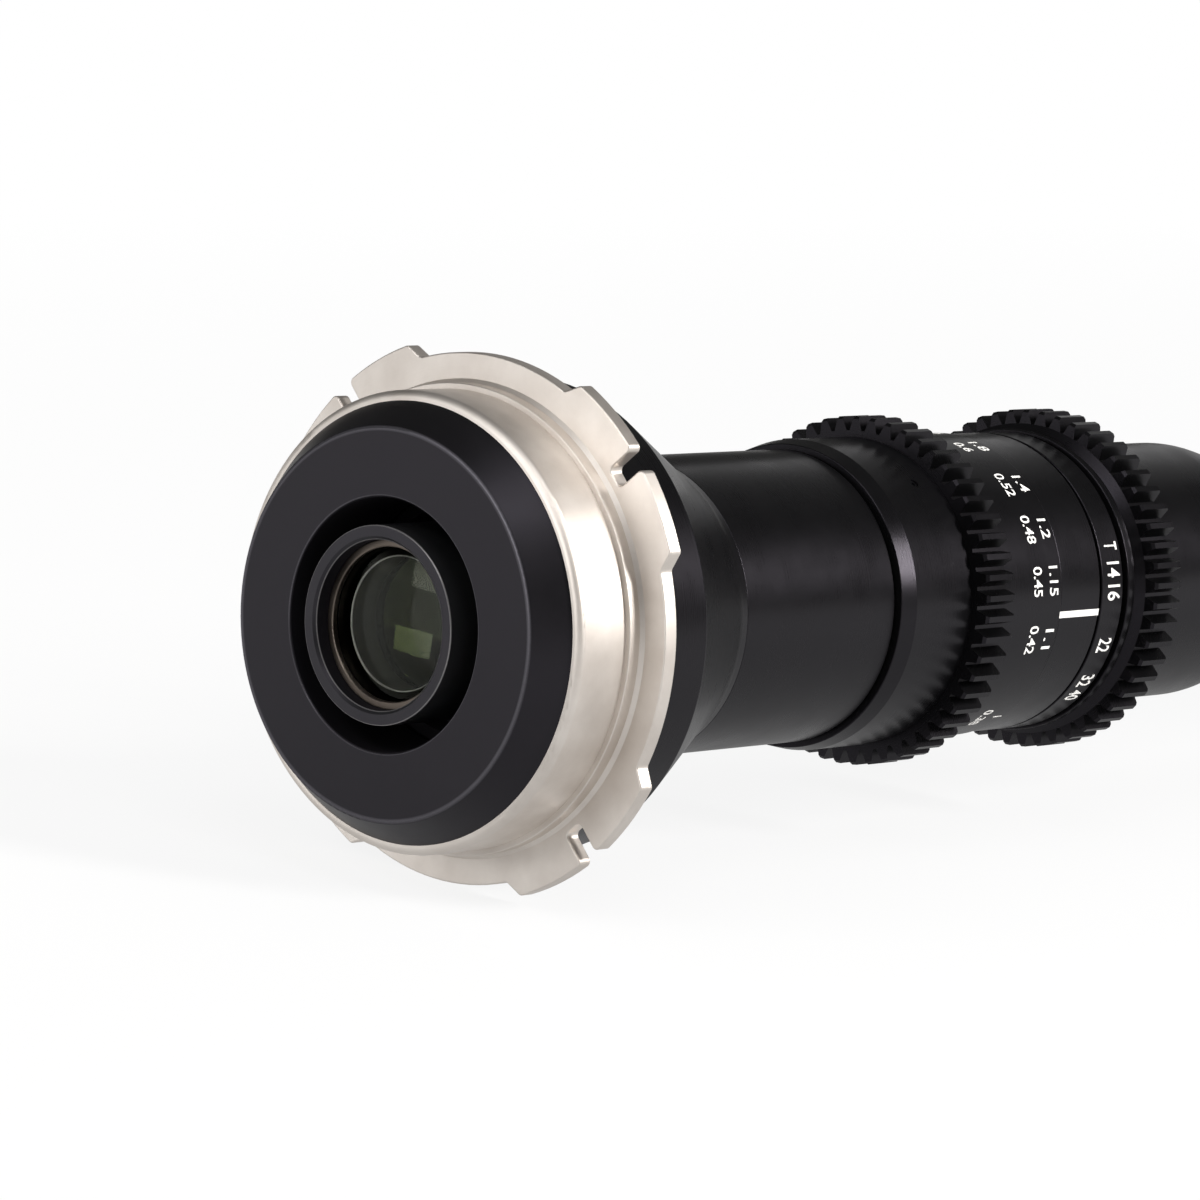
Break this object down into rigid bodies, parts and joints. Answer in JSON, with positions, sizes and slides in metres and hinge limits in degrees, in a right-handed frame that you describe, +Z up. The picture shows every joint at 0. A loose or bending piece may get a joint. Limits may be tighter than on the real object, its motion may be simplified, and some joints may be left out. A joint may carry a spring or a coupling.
{
  "type": "probe lens",
  "caption": "Long slim macro probe lens with a bayonet camera mount, toothed focus and aperture rings, and a straight tube with a light ring at its tip.",
  "frame": {"origin": "centre of the camera mount's flange seat, on the optical axis", "axes": "+X along the optical axis from the camera to the tip, +Z up, index line on the -Y side"},
  "size_m": [0.4147, 0.0624, 0.0624],
  "materials": {
    "nickel_plate": "satin nickel plate, turned",
    "black_anodised": "satin black anodised, turned",
    "black_anodised_ring": "satin black anodised, cut teeth",
    "black_cap": "black anodised with bright turned edge",
    "baffle_black": "matt black inside",
    "bright_ring": "bright turned edge, dark sides",
    "coated_glass": "polished, green and pink coating",
    "inner_glass": "polished, coated",
    "brass_shim": "rolled shim",
    "steel_screw": "blackened steel",
    "steel_pin": "ground steel",
    "brass_follower": "turned brass",
    "plastic_washer": "slippery plastic",
    "blade_steel": "blackened spring steel",
    "port_shell": "stamped steel",
    "board_green": "solder mask",
    "board_white": "white solder mask",
    "flat_cable": "amber film",
    "seal_rubber": "soft black rubber",
    "light_chip": "yellow phosphor",
    "clear_window": "polished"
  },
  "bodies": {
    "lens_body": {"mount_ring": "nickel_plate", "mount_screws": "steel_screw", "flange_shim": "brass_shim", "rear_cap": "black_cap", "rear_cell": "bright_ring", "rear_retaining_ring": "bright_ring", "rear_lens": "coated_glass", "rear_spacer": "bright_ring", "rear_inner_lens": "coated_glass", "mount_base": "black_anodised", "rear_barrel": "black_anodised", "main_tube": "baffle_black", "thrust_washers": "plastic_washer", "index_ring": "black_anodised", "index_ring_screws": "steel_screw", "iris_base": "baffle_black", "iris_retainer": "baffle_black", "nose_barrel": "black_anodised", "power_port": "port_shell", "port_board": "board_green", "led_cable": "flat_cable", "probe_tube": "black_anodised", "relay_tube": "baffle_black", "relay_lens_1": "inner_glass", "relay_lens_2": "inner_glass", "relay_lens_3": "inner_glass", "relay_lens_4": "inner_glass", "relay_lens_5": "inner_glass", "relay_lens_6": "inner_glass", "relay_spacers": "baffle_black", "relay_retaining_ring": "baffle_black", "tip_housing": "black_anodised", "tip_seal": "seal_rubber", "led_board": "board_white", "led_chips": "light_chip", "led_window": "clear_window", "objective_cell": "baffle_black", "objective_lens": "inner_glass", "objective_spacer": "baffle_black", "front_lens": "coated_glass", "front_retaining_ring": "baffle_black"},
    "focus_turn_ring": {"focus_ring": "black_anodised_ring", "focus_cam_sleeve": "baffle_black", "focus_ring_screws": "steel_screw"},
    "focus_group": {"focus_carriage": "baffle_black", "focus_rear_lens": "inner_glass", "focus_spacer": "baffle_black", "focus_front_lens": "inner_glass", "focus_retaining_ring": "baffle_black", "cam_followers": "brass_follower"},
    "aperture_turn_ring": {"aperture_ring": "black_anodised_ring", "iris_drive_pin": "steel_pin", "iris_cam_ring": "baffle_black"},
    "iris_blade_body_1": {"iris_blade_1": "blade_steel"},
    "iris_blade_body_2": {"iris_blade_2": "blade_steel"},
    "iris_blade_body_3": {"iris_blade_3": "blade_steel"},
    "iris_blade_body_4": {"iris_blade_4": "blade_steel"},
    "iris_blade_body_5": {"iris_blade_5": "blade_steel"},
    "iris_blade_body_6": {"iris_blade_6": "blade_steel"},
    "iris_blade_body_7": {"iris_blade_7": "blade_steel"}
  },
  "joints": [
    {"name": "focus_turn", "type": "hinge", "parent": "lens_body", "child": "focus_turn_ring", "pos_m": [0.0745, 0, 0], "axis": [1, 0, 0], "range_deg": [-48.5, 121.5]},
    {"name": "focus_travel", "type": "slide", "parent": "lens_body", "child": "focus_group", "axis": [1, 0, 0], "range_m": [-0.00573, 0.00229]},
    {"name": "aperture_turn", "type": "hinge", "parent": "lens_body", "child": "aperture_turn_ring", "pos_m": [0.106, 0, 0], "axis": [1, 0, 0], "range_deg": [-39, 16]},
    {"name": "iris_blade_turn_1", "type": "hinge", "parent": "lens_body", "child": "iris_blade_body_1", "pos_m": [0.10305, 0, 0.0108], "axis": [1, 0, 0], "range_deg": [-15.82, 6.5]},
    {"name": "iris_blade_turn_2", "type": "hinge", "parent": "lens_body", "child": "iris_blade_body_2", "pos_m": [0.1032, -0.00844, 0.00673], "axis": [1, 0, 0], "range_deg": [-15.82, 6.5]},
    {"name": "iris_blade_turn_3", "type": "hinge", "parent": "lens_body", "child": "iris_blade_body_3", "pos_m": [0.10335, -0.01053, -0.0024], "axis": [1, 0, 0], "range_deg": [-15.82, 6.5]},
    {"name": "iris_blade_turn_4", "type": "hinge", "parent": "lens_body", "child": "iris_blade_body_4", "pos_m": [0.1035, -0.00469, -0.00973], "axis": [1, 0, 0], "range_deg": [-15.82, 6.5]},
    {"name": "iris_blade_turn_5", "type": "hinge", "parent": "lens_body", "child": "iris_blade_body_5", "pos_m": [0.10365, 0.00469, -0.00973], "axis": [1, 0, 0], "range_deg": [-15.82, 6.5]},
    {"name": "iris_blade_turn_6", "type": "hinge", "parent": "lens_body", "child": "iris_blade_body_6", "pos_m": [0.1038, 0.01053, -0.0024], "axis": [1, 0, 0], "range_deg": [-15.82, 6.5]},
    {"name": "iris_blade_turn_7", "type": "hinge", "parent": "lens_body", "child": "iris_blade_body_7", "pos_m": [0.10395, 0.00844, 0.00673], "axis": [1, 0, 0], "range_deg": [-15.82, 6.5]}
  ],
  "couplings": [
    {"joint": "focus_travel", "follows": "focus_turn", "m_per_rad": -0.0026963},
    {"joint": "iris_blade_turn_1", "follows": "aperture_turn", "ratio": 0.40546},
    {"joint": "iris_blade_turn_2", "follows": "aperture_turn", "ratio": 0.40546},
    {"joint": "iris_blade_turn_3", "follows": "aperture_turn", "ratio": 0.40546},
    {"joint": "iris_blade_turn_4", "follows": "aperture_turn", "ratio": 0.40546},
    {"joint": "iris_blade_turn_5", "follows": "aperture_turn", "ratio": 0.40546},
    {"joint": "iris_blade_turn_6", "follows": "aperture_turn", "ratio": 0.40546},
    {"joint": "iris_blade_turn_7", "follows": "aperture_turn", "ratio": 0.40546}
  ]
}
